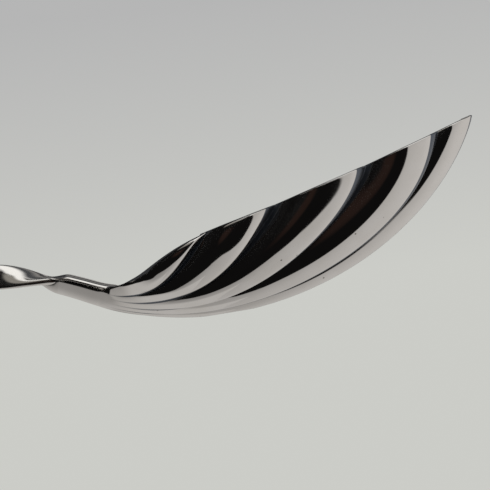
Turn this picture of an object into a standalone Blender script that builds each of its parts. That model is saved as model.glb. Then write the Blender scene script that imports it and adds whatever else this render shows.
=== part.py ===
"""Teaspoon: fluted shell bowl, twisted bar stem and a turned finial.

Lengths are in millimetres until the meshes are made, then in metres, with Z up.
The spoon lies on its bowl and on the rim of the finial, with the bowl tip towards +X.
"""
import math

import bmesh
import bpy
import numpy as np

MM = 0.001

# The bowl's rim. X runs from the neck to the tip, and Z is measured from the tip's height.
BOWL_LENGTH = 50.0
BOWL_WIDTH = 25.0
WIDEST_AT = 11.68
TIP_POWER = 1.37
FAN_POWER = 1.07
RIM_SAG = 0.62
SHOULDER_DROP = 1.39
SHOULDER_PULL = 7.79
SHOULDER_RISE = 2.1
EDGE_DIP = 13.4
EDGE_PULL = 5.95
EDGE_STOP = 0.7
EDGE_FLARE = 0.65
SHOULDER_FLARE = 0.05
RIM_FULLNESS = 0.72

# The bowl's fan of lines from the heel to the rim.
HEEL_BACK = 3.03
HEEL_DROP = 2.61
HEEL_HALF = 2.3
HEEL_DEPTH = 2.42
HEEL_ANGLE = 42.7
HEEL_PULL = (0.22, 0.47, 0.23)
RIM_PULL = (0.47, 0.19, -0.35)
RIM_STEEPNESS = (47.5, 22.9, 32.0)
HEEL_BLEND = 0.06
HEEL_POWER = 1.2
SECTION_POWER = 2.25
SECTION_GAIN = 0.8
KEEL_SHARP = 0.7
KEEL_RUN = 9.5

# The lobes between the creases, and the sheet they are raised in.
LOBES = 11
LOBE_SHARE = 0.185
SIDE_LOBE_SHARE = 0.21
TIP_LOBE_SHARE = 0.08
CROWN_POWER = 2.9
CROWN_LEAN = 1.2
SIDE_LEAN = 1.0
CREASE_START = 0.11
CREASE_RUN = 0.2
WALL = 0.9
WORN_FLAT = 0.12
RIM_CROWN = 0.2

# The channel on top of the heel, where the stem's tongue is soldered.
GAP = 0.3
HEEL_LENGTH = 5.8
HEEL_END_HALF = 2.0
HEEL_END_DEPTH = 2.1
CHANNEL_LIP = 0.45
CHANNEL_DEPTH = 0.9
CHANNEL_POWER = 2.0

# The stem.
BAR_HALF_WIDTH = 1.55
BAR_HALF_THICK = 0.6
BAR_POWER = 2.5
TONGUE_CROWN = 0.6
TONGUE_INTO_BOWL = 2.4
BAR_LENGTH = 80.0
TWIST_PER_MM = 15.0
UNTWISTED = 1.2
CROWN_TAPER = 1.6
ROOT_TAPER = 4.5
TENON_RADIUS = 0.8
TENON_LENGTH = 3.0

# Slopes of the stem's top line, in degrees below the heel's own angle, and where they hold.
NECK_MARKS = (3.0, 6.0, 13.0)
NECK_EASE = (6.4, 8.9, 20.0)
TONGUE_EASE = 12.0
HEEL_EASE = 2.4
DESCENT_FROM_END = 34.0
DESCENT_RUN = 12.0
LEVEL_END = 2.0

# The finial on the stem's end.
COLLAR_RADIUS = 2.2
COLLAR_LENGTH = 1.0
BULB_RADIUS = 2.8
BULB_LENGTH = 4.8
WAIST_WALL = 0.6
WAIST_RADIUS = 1.55
FLARE_LENGTH = 2.0
SEAL_RADIUS = 3.2
SEAL_LENGTH = 1.4
SOCKET_SPARE = 0.2
EDGE_BREAK = 0.25

# How the spoon lies.
TILT = 13.0

# How fine the meshes are.
STEPS_PER_LOBE = 6
FAN_ROWS = 20
HEEL_ROWS = 4
BAR_ROW_STEP = 1.25
SECTION_POINTS = 16
TURNED_STEPS = 28


def mix(values, s):
    """A value across the fan: middle, edge, and a swell between them."""
    u = s * s
    return values[0] + (values[1] - values[0]) * u + values[2] * 4.0 * u * (1.0 - u)


def smooth(v):
    """A soft step from 0 to 1."""
    v = np.clip(v, 0.0, 1.0)
    return v * v * (3.0 - 2.0 * v)


def unit(vectors):
    """Vectors of length one."""
    return vectors / np.maximum(np.linalg.norm(vectors, axis=-1), 1e-9)[..., None]


def rim_line(a):
    """Points of the rim, for a from 0 at the tip to 1 at the widest place."""
    turn = np.clip(a, 0.0, 1.0) ** FAN_POWER * math.pi / 2.0
    reach = np.abs(np.cos(turn)) ** TIP_POWER
    x = WIDEST_AT + (BOWL_LENGTH - WIDEST_AT) * reach
    y = BOWL_WIDTH / 2.0 * np.sin(turn) ** RIM_FULLNESS
    z = -SHOULDER_DROP * (1.0 - reach) - RIM_SAG * 4.0 * reach * (1.0 - reach)
    return np.stack([x, y, z], axis=-1)


def neck_wave(s, power):
    """Shares of the half width and of the depth around the neck's section, which is a rounded V."""
    turn = s * math.pi / 2.0
    across = np.sign(s) * np.abs(np.sin(turn)) ** (2.0 / power)
    return across, np.abs(np.cos(turn)) ** (2.0 / power)


def heel_section(s, half, depth, power):
    """Section across the neck where the fan begins, open at the top."""
    lean = math.radians(HEEL_ANGLE)
    down = np.array([-math.sin(lean), 0.0, -math.cos(lean)])
    side = np.array([0.0, 1.0, 0.0])
    heel = np.array([-HEEL_BACK, 0.0, -HEEL_DROP])
    across, low = neck_wave(s, power)
    return heel + half * across[:, None] * side + depth * low[:, None] * down


def cubic(points, t):
    """Bezier curves, one for each row of the four arrays of points."""
    w = t[None, :, None]
    first = (1 - w) ** 3 * points[0][:, None] + 3 * (1 - w) ** 2 * w * points[1][:, None]
    return first + 3 * (1 - w) * w ** 2 * points[2][:, None] + w ** 3 * points[3][:, None]


def fan_lines(s, t):
    """Lines from the heel to the rim as seen from the side, for s from 0 to the last crease."""
    a = s * LOBES / (LOBES - 2.0)
    lean = math.radians(HEEL_ANGLE)
    ahead = np.array([math.cos(lean), 0.0, -math.sin(lean)])
    p0 = heel_section(s, HEEL_HALF, HEEL_DEPTH, HEEL_POWER)
    p3 = rim_line(a)
    chord = np.linalg.norm(p3 - p0, axis=1)
    p1 = p0 + (mix(HEEL_PULL, a) * chord)[:, None] * ahead
    steep = np.radians(mix(RIM_STEEPNESS, a))
    out = np.stack([np.cos(steep), 0.0 * steep, np.sin(steep)], axis=-1)
    p2 = p3 - (mix(RIM_PULL, a) * chord)[:, None] * out
    return cubic((p0, p1, p2, p3), t)


def edge_line(t):
    """The edge of the side lobe, from the neck up the shoulder to the widest place."""
    dip = math.radians(EDGE_DIP)
    rise = math.radians(SHOULDER_RISE)
    ahead = np.array([[math.cos(dip), EDGE_FLARE, -math.sin(dip)]])
    level = np.array([[math.cos(rise), SHOULDER_FLARE, math.sin(rise)]])
    p0 = heel_section(np.array([1.0]), HEEL_HALF, HEEL_DEPTH, HEEL_POWER)
    p3 = rim_line(np.array([1.0])) - np.array([[EDGE_STOP, 0.0, 0.0]])
    return cubic((p0, p0 + EDGE_PULL * ahead, p3 - SHOULDER_PULL * level, p3), t)[0]


def outline():
    """The rim and the keel as rows of X, Y, Z that run from the neck to the tip."""
    lean = math.radians(HEEL_ANGLE)
    back = 2.0 * HEEL_DEPTH * np.array([[-math.cos(lean), 0.0, math.sin(lean)]])
    edge = edge_line(np.linspace(0.0, 1.0, 121))
    front = rim_line(np.linspace(1.0, 0.0, 241))
    rim = np.concatenate([edge[:1] + back, edge, front])
    keel = fan_lines(np.array([0.0]), np.linspace(0.0, 1.0, 241))[0]
    return rim, np.concatenate([keel[:1] + back, keel])


def width_squared(x, z, rim, keel):
    """Square of the bowl's half width at height z, where each cross section is half a full ellipse."""
    half = np.interp(x, rim[:, 0], rim[:, 1])
    top = np.interp(x, rim[:, 0], rim[:, 2])
    bottom = np.interp(x, keel[:, 0], keel[:, 2])
    share = np.clip(1.0 - (z - bottom) / np.maximum(top - bottom, 0.01), -1.2, 1.2)
    power = SECTION_POWER + SECTION_GAIN * (x / BOWL_LENGTH - 0.4)
    power = power - KEEL_SHARP * (1.0 - smooth((x + HEEL_BACK) / KEEL_RUN))
    left = 1.0 - np.abs(share) ** power
    return half ** 2 * np.sign(left) * np.abs(left) ** (2.0 / power)


def half_bowl(s, t):
    """Smooth bowl and its outward normals for s from 0 to 1, over t from heel to rim."""
    last = (LOBES - 2.0) / LOBES
    base = fan_lines(np.minimum(s, last), t)
    over = np.clip((s - last) / (1.0 - last), 0.0, 1.0)[:, None, None]
    base = (1.0 - over) * base + over * edge_line(t)[None]
    rim, keel = outline()
    x = base[:, :, 0]
    z = base[:, :, 2]
    square = np.maximum(width_squared(x, z, rim, keel), 0.0)
    share = smooth(t / HEEL_BLEND)[None, :]
    neck = HEEL_HALF * neck_wave(s, HEEL_POWER)[0][:, None]
    base[:, :, 1] = (1.0 - share) * neck + share * np.sqrt(square)
    step = 0.05
    slope_x = width_squared(x + step, z, rim, keel) - width_squared(x - step, z, rim, keel)
    slope_z = width_squared(x, z + step, rim, keel) - width_squared(x, z - step, rim, keel)
    normal = np.stack([-slope_x / (2 * step), 2.0 * base[:, :, 1], -slope_z / (2 * step)], axis=-1)
    return base, unit(normal)


def tilted(points):
    """Bowl frame to the spoon's resting frame, before it is set down."""
    lean = math.radians(TILT)
    turned = np.array(points, dtype=float)
    x = turned[..., 0].copy()
    z = turned[..., 2].copy()
    turned[..., 0] = x * math.cos(lean) - z * math.sin(lean)
    turned[..., 2] = x * math.sin(lean) + z * math.cos(lean)
    return turned


def worn(outer):
    """The outer skin with a small flat worn where the bowl stands on the table."""
    lean = math.radians(TILT)
    height = tilted(outer)[..., 2]
    lift = np.maximum(height.min() + WORN_FLAT - height, 0.0)
    return outer + lift[..., None] * np.array([math.sin(lean), 0.0, math.cos(lean)])


def lobe_widths(s, t):
    """Width of the lobe that each s lies in, from crease to crease."""
    number = np.minimum(np.floor((1.0 - np.abs(s)) * LOBES / 2.0 + 1e-9), (LOBES - 1) // 2)
    outer_side = np.abs(1.0 - 2.0 * number / LOBES)
    inner_side = 1.0 - 2.0 * (number + 1.0) / LOBES
    first, _normal = half_bowl(outer_side, t)
    second, _normal = half_bowl(np.abs(inner_side), t)
    second[:, :, 1] *= np.sign(inner_side)[:, None]
    return np.linalg.norm(first - second, axis=-1)


def lobe_swell(s):
    """Height of the lobes across the fan, 0 in a crease and 1 on a crown."""
    place = ((1.0 - np.abs(s)) * LOBES / 2.0) % 1.0
    lean = np.where(np.abs(s) < 1.0 / LOBES, 1.0, CROWN_LEAN)
    lean = np.where(np.abs(s) > 1.0 - 2.0 / LOBES, SIDE_LEAN, lean)
    return 1.0 - np.abs(2.0 * place ** lean - 1.0) ** CROWN_POWER


def bowl_skins(s, t):
    """Outer and inner skins of the lobed bowl."""
    last = (LOBES - 2.0) / LOBES
    base, normal = half_bowl(np.abs(s), t)
    mirror = np.where(s < 0.0, -1.0, 1.0)
    base[:, :, 1] *= mirror[:, None]
    normal[:, :, 1] *= mirror[:, None]
    at_side = np.abs(s) > last + 1e-9
    share = np.where(np.abs(s) < 1.0 / LOBES, TIP_LOBE_SHARE, LOBE_SHARE)
    height = np.where(at_side, SIDE_LOBE_SHARE, share) * lobe_swell(s)
    rise = height[:, None] * lobe_widths(s, t) * smooth((t - CREASE_START) / CREASE_RUN)[None, :]
    rise[at_side] *= (1.0 - t ** 6)[None, :]
    over = np.clip((np.abs(s) - last) / (1.0 - last), 0.0, 1.0)
    level = normal.copy()
    level[:, :, 2] *= (1.0 - t ** 6)[None, :] * (1.0 - over ** 2)[:, None]
    level = unit(level)
    outer = worn(base + rise[:, :, None] * level)
    lip = heel_section(s, HEEL_HALF - CHANNEL_LIP, CHANNEL_DEPTH, CHANNEL_POWER)
    lip = lip - heel_section(s, HEEL_HALF, HEEL_DEPTH, HEEL_POWER)
    share = smooth(t / 0.25)[None, :, None]
    inner = outer + (1.0 - share) * lip[:, None, :] - share * WALL * level
    return outer, inner


def stem_angle(u, descent):
    """Slope of the stem against the table, u millimetres from the heel."""
    first = HEEL_ANGLE - TILT
    down = BAR_LENGTH - DESCENT_FROM_END
    marks = [-TONGUE_INTO_BOWL, 0.0]
    marks += list(NECK_MARKS)
    marks += [down, down + DESCENT_RUN, BAR_LENGTH - LEVEL_END]
    slopes = [first - TONGUE_EASE, first - HEEL_EASE]
    slopes += [first - ease for ease in NECK_EASE]
    slopes += [-descent, -descent, 0.0]
    return np.interp(u, marks, slopes)


def stem_path(descent):
    """Distances, points and slopes along the stem's top line, in the bowl's frame."""
    u = np.arange(-2.0 * TONGUE_INTO_BOWL - 3.0, BAR_LENGTH + 30.0, 0.25)
    raw = np.pad(stem_angle(u, descent), 8, mode="edge")
    theta = np.radians(np.convolve(raw, np.ones(17) / 17.0, mode="valid") + TILT)
    dx = -np.cos(theta) * 0.25
    dz = np.sin(theta) * 0.25
    x = np.concatenate([[0.0], np.cumsum(0.5 * (dx[1:] + dx[:-1]))])
    z = np.concatenate([[0.0], np.cumsum(0.5 * (dz[1:] + dz[:-1]))])
    x += -HEEL_BACK - np.interp(0.0, u, x)
    z += -HEEL_DROP - np.interp(0.0, u, z)
    return u, x, z, np.degrees(theta)


def resting_descent(lowest):
    """How steeply the stem comes down, so that the finial touches the table too."""
    low = 0.0
    high = 40.0
    for _ in range(40):
        middle = 0.5 * (low + high)
        u, x, z, _slope = stem_path(middle)
        end = np.array([np.interp(BAR_LENGTH, u, x), 0.0, np.interp(BAR_LENGTH, u, z) - BAR_HALF_THICK])
        if tilted(end)[2] - SEAL_RADIUS > lowest:
            low = middle
        else:
            high = middle
    return 0.5 * (low + high)


def path_at(path, u):
    """Point, slope angle, along and up directions on the stem's top line."""
    x = float(np.interp(u, path[0], path[1]))
    z = float(np.interp(u, path[0], path[2]))
    theta = math.radians(float(np.interp(u, path[0], path[3])))
    along = np.array([-math.cos(theta), 0.0, math.sin(theta)])
    up = np.array([math.sin(theta), 0.0, math.cos(theta)])
    return np.array([x, 0.0, z]), math.degrees(theta), along, up


def new_object(name, vertices, faces, collection, material):
    """Mesh object in metres from points in millimetres."""
    mesh = bpy.data.meshes.new(name)
    bm = bmesh.new()
    made = [bm.verts.new(tuple(float(c) * MM for c in v)) for v in vertices]
    for face in faces:
        bm.faces.new([made[i] for i in face])
    bmesh.ops.remove_doubles(bm, verts=bm.verts, dist=1e-7)
    bmesh.ops.recalc_face_normals(bm, faces=bm.faces)
    bm.to_mesh(mesh)
    bm.free()
    mesh.materials.append(material)
    obj = bpy.data.objects.new(name, mesh)
    collection.objects.link(obj)
    return obj


def polished(name, colour, rough):
    """Plain metal material."""
    material = bpy.data.materials.new(name)
    material.use_nodes = True
    shader = material.node_tree.nodes["Principled BSDF"]
    shader.inputs["Base Color"].default_value = (colour[0], colour[1], colour[2], 1.0)
    shader.inputs["Metallic"].default_value = 1.0
    shader.inputs["Roughness"].default_value = rough
    return material


def neck_half(u):
    """Half the neck's width, u millimetres from the fan."""
    share = min(max(u / HEEL_LENGTH, 0.0), 1.0)
    return HEEL_HALF + (HEEL_END_HALF - HEEL_HALF) * share


def bowl_points(path):
    """Outer and inner grids of the bowl, from the heel's end to the rim."""
    s = np.linspace(-1.0, 1.0, LOBES * STEPS_PER_LOBE + 1)
    t = np.linspace(0.0, 1.0, FAN_ROWS + 1) ** 1.15
    outer, inner = bowl_skins(s, t)
    rows_out = []
    rows_in = []
    for k in range(HEEL_ROWS):
        u = HEEL_LENGTH * (1.0 - k / HEEL_ROWS)
        share = u / HEEL_LENGTH
        point, angle, _along, up = path_at(path, u)
        half = neck_half(u)
        depth = HEEL_DEPTH + (HEEL_END_DEPTH - HEEL_DEPTH) * share
        side = np.array([0.0, 1.0, 0.0])
        across, low = neck_wave(s, HEEL_POWER)
        ring = point + half * across[:, None] * side - depth * low[:, None] * up
        across, low = neck_wave(s, CHANNEL_POWER)
        well = point + (half - CHANNEL_LIP) * across[:, None] * side
        well = well - CHANNEL_DEPTH * low[:, None] * up
        rows_out.append(ring)
        rows_in.append(well)
    full_out = np.concatenate([np.stack(rows_out, axis=1), outer], axis=1)
    full_in = np.concatenate([np.stack(rows_in, axis=1), inner], axis=1)
    return full_out, full_in


def build_bowl(outer, inner, collection, material):
    """Closed shell from the two skins, with a crowned edge all round."""
    columns, rows, _ = outer.shape
    vertices = list(outer.reshape(-1, 3)) + list(inner.reshape(-1, 3))
    shift = columns * rows
    faces = []
    for i in range(columns - 1):
        for j in range(rows - 1):
            a = i * rows + j
            faces.append((a, a + 1, a + rows + 1, a + rows))
            faces.append((shift + a, shift + a + rows, shift + a + rows + 1, shift + a + 1))
    edge = [(0, j) for j in range(rows)]
    edge += [(i, rows - 1) for i in range(1, columns)]
    edge += [(columns - 1, j) for j in range(rows - 2, -1, -1)]
    crown = []
    for i, j in edge:
        middle = 0.5 * (outer[i, j] + inner[i, j])
        crown.append(len(vertices))
        lift = RIM_CROWN if j > 0 else 0.0
        vertices.append(middle + np.array([0.0, 0.0, lift]))
    for n in range(len(edge) - 1):
        a = edge[n][0] * rows + edge[n][1]
        b = edge[n + 1][0] * rows + edge[n + 1][1]
        faces.append((a, b, crown[n + 1], crown[n]))
        faces.append((crown[n], crown[n + 1], shift + b, shift + a))
    for i in range(columns - 1):
        a = i * rows
        b = (i + 1) * rows
        ends = [a, b, shift + b, shift + a]
        if i == 0:
            ends = [a, b, shift + b, shift + a, crown[0]]
        if i == columns - 2:
            ends = [a, b, crown[-1], shift + b, shift + a]
        faces.append(tuple(ends))
    return new_object("bowl", vertices, faces, collection, material)


def ring_waves():
    """Cosines and sines around a section of the stem."""
    angle = 2.0 * math.pi * (np.arange(SECTION_POINTS) + 0.5) / SECTION_POINTS
    return np.cos(angle), np.sin(angle)


def square_offsets(half_width, half_thick, power):
    """Offsets across and up of a rounded rectangle."""
    c, n = ring_waves()
    across = half_width * np.sign(c) * np.abs(c) ** (2.0 / power)
    return across, half_thick * np.sign(n) * np.abs(n) ** (2.0 / power)


def root_offsets(half, depth, crown):
    """Offsets across and up of the heel's end: the neck's rounded V below, lightly crowned on top."""
    c, n = ring_waves()
    keel = 2.0 / HEEL_POWER
    across = half * np.where(n > 0.0, c, np.sign(c) * np.abs(c) ** keel)
    return across, np.where(n > 0.0, crown * n, -depth * np.abs(n) ** keel)


def turned_ring(path, u, across, tall, centre, twist):
    """One section of the stem from its offsets, turned by the twist about its middle."""
    point, _angle, _along, up = path_at(path, u)
    side = np.array([0.0, 1.0, 0.0])
    y = across * math.cos(twist) - tall * math.sin(twist)
    z = across * math.sin(twist) + tall * math.cos(twist)
    return list(point + centre * up + y[:, None] * side + z[:, None] * up)


def bar_ring(path, u, half_width, half_thick, centre, twist, power):
    """One section of the stem, a rounded rectangle turned by the twist."""
    across, tall = square_offsets(half_width, half_thick, power)
    return turned_ring(path, u, across, tall, centre, twist)


def stem_twist(u):
    """Turn of the bar, in radians: flat at the tongue, then a steady left-hand twist."""
    return math.radians(max(0.0, u - HEEL_LENGTH - GAP - UNTWISTED) * TWIST_PER_MM)


def build_stem(path, collection, material):
    """Tongue, root, twisted bar and tenon in one loft."""
    tongue_low = CHANNEL_DEPTH - GAP
    tongue_mid = 0.5 * (TONGUE_CROWN - tongue_low)
    tongue_thick = 0.5 * (TONGUE_CROWN + tongue_low)
    tip = -TONGUE_INTO_BOWL
    tip_half = neck_half(tip) - CHANNEL_LIP - GAP
    rings = [bar_ring(path, tip, tip_half * 0.45, tongue_thick * 0.4, tongue_mid, 0.0, 2.5)]
    rings.append(bar_ring(path, tip + 0.25, tip_half * 0.8, tongue_thick * 0.8, tongue_mid, 0.0, 3.0))
    for k in range(6):
        u = tip + 0.8 + (HEEL_LENGTH + GAP - tip - 0.8) * k / 5.0
        half = neck_half(u) - CHANNEL_LIP - GAP
        rings.append(bar_ring(path, u, half, tongue_thick, tongue_mid, 0.0, 4.0))
    root = HEEL_LENGTH + GAP
    root_mid = 0.5 * (TONGUE_CROWN - HEEL_END_DEPTH)
    bar_across, bar_tall = square_offsets(BAR_HALF_WIDTH, BAR_HALF_THICK, BAR_POWER)
    count = int(round((BAR_LENGTH - root) / BAR_ROW_STEP))
    for k in range(count + 1):
        u = root + (BAR_LENGTH - root) * k / count
        share = float(smooth(np.array((u - root) / ROOT_TAPER)))
        crown = TONGUE_CROWN * (1.0 - float(smooth(np.array((u - root) / CROWN_TAPER))))
        root_across, root_tall = root_offsets(HEEL_END_HALF, HEEL_END_DEPTH, crown)
        across = (1.0 - share) * root_across + share * bar_across
        tall = (1.0 - share) * (root_tall - root_mid) + share * bar_tall
        centre = (1.0 - share) * root_mid - share * BAR_HALF_THICK
        rings.append(turned_ring(path, u, across, tall, centre, stem_twist(u)))
    last = stem_twist(BAR_LENGTH)
    for u in (BAR_LENGTH, BAR_LENGTH + TENON_LENGTH - EDGE_BREAK):
        rings.append(bar_ring(path, u, TENON_RADIUS, TENON_RADIUS, -BAR_HALF_THICK, last, 2.0))
    end = BAR_LENGTH + TENON_LENGTH
    blunt = TENON_RADIUS - EDGE_BREAK
    rings.append(bar_ring(path, end, blunt, blunt, -BAR_HALF_THICK, last, 2.0))
    vertices = [p for ring in rings for p in ring]
    faces = []
    for r in range(len(rings) - 1):
        for k in range(SECTION_POINTS):
            a = r * SECTION_POINTS + k
            b = r * SECTION_POINTS + (k + 1) % SECTION_POINTS
            faces.append((a, b, b + SECTION_POINTS, a + SECTION_POINTS))
    faces.append(tuple(range(SECTION_POINTS - 1, -1, -1)))
    top = (len(rings) - 1) * SECTION_POINTS
    faces.append(tuple(range(top, top + SECTION_POINTS)))
    return new_object("stem", vertices, faces, collection, material)


def build_finial(path, collection, material):
    """Turned finial with a socket for the tenon and a flat seal end."""
    front = BAR_LENGTH + GAP
    point, _angle, along, up = path_at(path, front)
    start = point - BAR_HALF_THICK * up
    socket = TENON_RADIUS + GAP
    depth = TENON_LENGTH + SOCKET_SPARE
    bulb = COLLAR_LENGTH
    waist = COLLAR_LENGTH + BULB_LENGTH
    seal = waist + FLARE_LENGTH
    end = seal + SEAL_LENGTH
    profile = [
        (0.0, depth), (socket, depth), (socket, 0.0),
        (COLLAR_RADIUS - EDGE_BREAK, 0.0), (COLLAR_RADIUS, EDGE_BREAK),
        (COLLAR_RADIUS, COLLAR_LENGTH - EDGE_BREAK), (COLLAR_RADIUS - EDGE_BREAK, COLLAR_LENGTH),
        (socket + WAIST_WALL, bulb + 0.08 * BULB_LENGTH),
        (socket + WAIST_WALL + 0.15, bulb + 0.2 * BULB_LENGTH),
        (BULB_RADIUS * 0.88, bulb + 0.4 * BULB_LENGTH), (BULB_RADIUS, bulb + 0.58 * BULB_LENGTH),
        (BULB_RADIUS * 0.93, bulb + 0.73 * BULB_LENGTH), (BULB_RADIUS * 0.72, bulb + 0.88 * BULB_LENGTH),
        (WAIST_RADIUS, waist), (WAIST_RADIUS, waist + 0.2 * FLARE_LENGTH),
        (0.5 * (WAIST_RADIUS + SEAL_RADIUS) - 0.3, waist + 0.5 * FLARE_LENGTH),
        (SEAL_RADIUS - 0.3, waist + 0.8 * FLARE_LENGTH), (SEAL_RADIUS, seal),
        (SEAL_RADIUS, end - EDGE_BREAK), (SEAL_RADIUS - EDGE_BREAK, end), (0.0, end),
    ]
    side = np.array([0.0, 1.0, 0.0])
    vertices = []
    for radius, distance in profile:
        for k in range(TURNED_STEPS):
            angle = 2.0 * math.pi * k / TURNED_STEPS
            ring = radius * (math.cos(angle) * up + math.sin(angle) * side)
            vertices.append(start + distance * along + ring)
            if radius == 0.0:
                break
    offsets = []
    count = 0
    for radius, _distance in profile:
        offsets.append(count)
        count += 1 if radius == 0.0 else TURNED_STEPS
    faces = []
    for r in range(len(profile) - 1):
        for k in range(TURNED_STEPS):
            n = (k + 1) % TURNED_STEPS
            if profile[r][0] == 0.0:
                faces.append((offsets[r], offsets[r + 1] + n, offsets[r + 1] + k))
            elif profile[r + 1][0] == 0.0:
                faces.append((offsets[r] + k, offsets[r] + n, offsets[r + 1]))
            else:
                faces.append((offsets[r] + k, offsets[r] + n, offsets[r + 1] + n, offsets[r + 1] + k))
    return new_object("finial", vertices, faces, collection, material)


def set_down(objects):
    """Tilt the spoon to its rest, lowest point on Z = 0, origin under the middle of its box."""
    lean = math.radians(TILT)
    corners = []
    for obj in objects:
        for vertex in obj.data.vertices:
            x = vertex.co.x
            z = vertex.co.z
            vertex.co.x = x * math.cos(lean) - z * math.sin(lean)
            vertex.co.z = x * math.sin(lean) + z * math.cos(lean)
            corners.append((vertex.co.x, vertex.co.y, vertex.co.z))
    corners = np.array(corners)
    low = corners.min(axis=0)
    high = corners.max(axis=0)
    shift = (-0.5 * (low[0] + high[0]), -0.5 * (low[1] + high[1]), -low[2])
    for obj in objects:
        for vertex in obj.data.vertices:
            vertex.co.x += shift[0]
            vertex.co.y += shift[1]
            vertex.co.z += shift[2]
        obj.data.update()
    return shift


for old in list(bpy.data.objects):
    bpy.data.objects.remove(old, do_unlink=True)
spoon = bpy.data.collections.new("teaspoon")
bpy.context.scene.collection.children.link(spoon)

level_path = stem_path(10.0)
skin_out, skin_in = bowl_points(level_path)
lowest_point = float(tilted(skin_out)[..., 2].min())
drop = resting_descent(lowest_point)
top_line = stem_path(drop)

silver = polished("polished_silver", (0.86, 0.85, 0.82), 0.08)
silver_stem = polished("polished_silver_stem", (0.84, 0.83, 0.80), 0.12)
silver_finial = polished("polished_silver_finial", (0.85, 0.84, 0.81), 0.10)
bowl = build_bowl(skin_out, skin_in, spoon, silver)
stem = build_stem(top_line, spoon, silver_stem)
finial = build_finial(top_line, spoon, silver_finial)
moved = set_down([bowl, stem, finial])
print("descent", round(drop, 3), "shift mm", [round(v * 1000.0, 3) for v in moved])
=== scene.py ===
"""Looks of the teaspoon: polished silver, fluted shell bowl, twisted stem and turned finial."""
import math

import bpy
import numpy as np
from mathutils import Matrix, Vector


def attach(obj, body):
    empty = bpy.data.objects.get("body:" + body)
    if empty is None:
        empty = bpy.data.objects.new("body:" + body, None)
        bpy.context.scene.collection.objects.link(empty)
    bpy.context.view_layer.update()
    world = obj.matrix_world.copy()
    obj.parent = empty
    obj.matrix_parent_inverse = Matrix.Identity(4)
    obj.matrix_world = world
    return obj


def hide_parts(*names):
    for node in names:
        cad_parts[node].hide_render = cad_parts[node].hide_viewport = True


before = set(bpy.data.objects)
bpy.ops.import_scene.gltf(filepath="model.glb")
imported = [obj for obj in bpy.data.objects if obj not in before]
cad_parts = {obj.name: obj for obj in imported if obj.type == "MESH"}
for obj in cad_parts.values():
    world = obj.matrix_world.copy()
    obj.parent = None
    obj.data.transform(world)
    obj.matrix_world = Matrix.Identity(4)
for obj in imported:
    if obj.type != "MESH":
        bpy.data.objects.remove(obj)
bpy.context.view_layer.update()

MM = 0.001
SIDEWAYS = np.array([0.0, 1.0, 0.0])

# Sizes in millimetres and angles in degrees. The main ones are those of the part's source. The lobes, the
# section and the tongue are fitted further to what the photograph's metal reflects.
BOWL_LENGTH = 50.0
BOWL_WIDTH = 25.0
WIDEST_AT = 11.68
WIDEST_EASE = 2.5
TIP_POWER = 1.37
FAN_POWER = 1.07
RIM_SAG = 0.62
SHOULDER_DROP = 1.39
SHOULDER_PULL = 7.79
SHOULDER_RISE = 2.1
EDGE_DIP = 13.4
EDGE_PULL = 5.95
EDGE_STOP = 0.7
EDGE_FLARE = 0.8
RIM_FULLNESS = 0.9
HEEL_BACK = 3.03
HEEL_DROP = 2.61
HEEL_HALF = 2.3
HEEL_DEPTH = 2.42
HEEL_ANGLE = 42.7
HEEL_PULL = (0.22, 0.47, 0.23)
RIM_PULL = (0.47, 0.19, -0.35)
RIM_STEEPNESS = (47.5, 22.9, 32.0)
HEEL_BLEND = 0.06
HEEL_POWER = 1.2
SECTION_POWER = 1.51
SECTION_GAIN = -0.045
SECTION_MIDDLE = 0.4
SECTION_LIMIT = 1.2
SECTION_THIN = 0.01
KEEL_SHARP = 0.5
KEEL_RUN = 9.5
LOBES = 11
LOBE_SHARE = 0.25
NEAR_LOBE_SHARE = 0.2
SIDE_LOBE_SHARE = 0.496
TIP_LOBE_SHARE = 0.11
CROWN_POWER = 3.94
CROWN_FALL = 3.39
NEAR_FALL = 2.6
CROWN_LEAN = 1.48
SIDE_LEAN = 0.85
CREASE_START = 0.06
NEAR_START = 0.13
CREASE_RUN = 0.19
SIDE_CLOSE = 16
LEVEL_POWER = 6
WALL = 0.9
WORN_FLAT = 0.12
HEEL_LENGTH = 5.8
HEEL_END_HALF = 2.0
HEEL_END_DEPTH = 2.1
CHANNEL_LIP = 0.45
CHANNEL_DEPTH = 0.9
CHANNEL_FADE = 0.25
BAR_HALF_WIDTH = 1.65
BAR_HALF_THICK = 0.6
TONGUE_CROWN = 0.75
TONGUE_INTO_BOWL = 2.4
NOSE = 1.3
NOSE_THIN = 0.35
NOSE_BLUNT = 0.02
BAR_LENGTH = 80.0
TWIST_PER_MM = 12.0
TWIST_FROM = 7.1
ROOT_TAPER = 3.4
ROOT_POWER = 1.6
ROOT_LEAD = 0.4
ROOT_NARROW = 0.75
ROOT_END_DEPTH = 1.2
ROOT_TUCK = 0.08
ROOT_CROWN = 0.05
STRIP_TAPER = 2.6
STRIP_LEAD = 1.2
TONGUE_HALF = 0.8
TONGUE_UNDER = 0.3
NECK_MARKS = (3.0, 6.0, 13.0)
NECK_EASE = (6.4, 8.9, 20.0)
TONGUE_EASE = 28.0
HEEL_EASE = 2.4
DESCENT_FROM_END = 34.0
DESCENT_RUN = 12.0
LEVEL_END = 2.0
TENON = ((0.0, 0.8), (2.6, 0.8), (2.9, 0.55))
TILT = 13.0

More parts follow.
